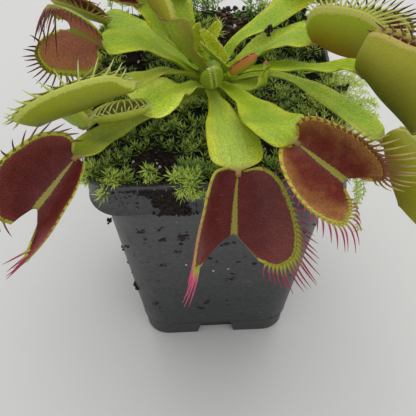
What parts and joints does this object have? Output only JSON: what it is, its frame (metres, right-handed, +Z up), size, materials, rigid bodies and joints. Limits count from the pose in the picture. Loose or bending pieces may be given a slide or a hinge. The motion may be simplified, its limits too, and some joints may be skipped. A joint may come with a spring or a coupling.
{
  "type": "potted venus flytrap",
  "caption": "Venus flytrap plant with toothed two-lobed traps on winged leaf stalks, rooted in mossy peat in a square plastic nursery pot.",
  "frame": {"origin": "middle of the pot's flat underside, on the surface it stands on", "axes": "+Z up, -Y towards the pot's front, +X to the right seen from the front"},
  "size_m": [0.1484, 0.1452, 0.1905],
  "materials": {
    "pot_plastic": "satin moulded polypropylene",
    "peat": "damp crumbly peat with moss",
    "crown_tissue": "pale fleshy leaf bases",
    "leaf_tissue": "waxy green leaf, maroon inside the traps",
    "dry_leaf": "dry brown leaf"
  },
  "bodies": {
    "root": {"pot": "pot_plastic", "soil": "peat", "crown": "crown_tissue", "leaf_front": "leaf_tissue", "leaf_front_right": "leaf_tissue", "leaf_right_high": "leaf_tissue", "leaf_right_low": "leaf_tissue", "leaf_back_right": "leaf_tissue", "leaf_back_right_tall": "leaf_tissue", "leaf_back_right_mid": "leaf_tissue", "leaf_back_left": "leaf_tissue", "leaf_upper_left": "leaf_tissue", "leaf_upright": "leaf_tissue", "leaf_back_mid_left": "leaf_tissue", "leaf_back_mid": "leaf_tissue", "leaf_left_mid": "leaf_tissue", "leaf_left_long": "leaf_tissue", "leaf_left_small": "leaf_tissue", "leaf_left_big": "leaf_tissue", "leaf_young_back": "leaf_tissue", "leaf_young_mid": "leaf_tissue", "leaf_young_red": "leaf_tissue", "leaf_young_green": "leaf_tissue", "leaf_young_olive": "leaf_tissue", "leaf_dry": "dry_leaf"}
  },
  "joints": []
}
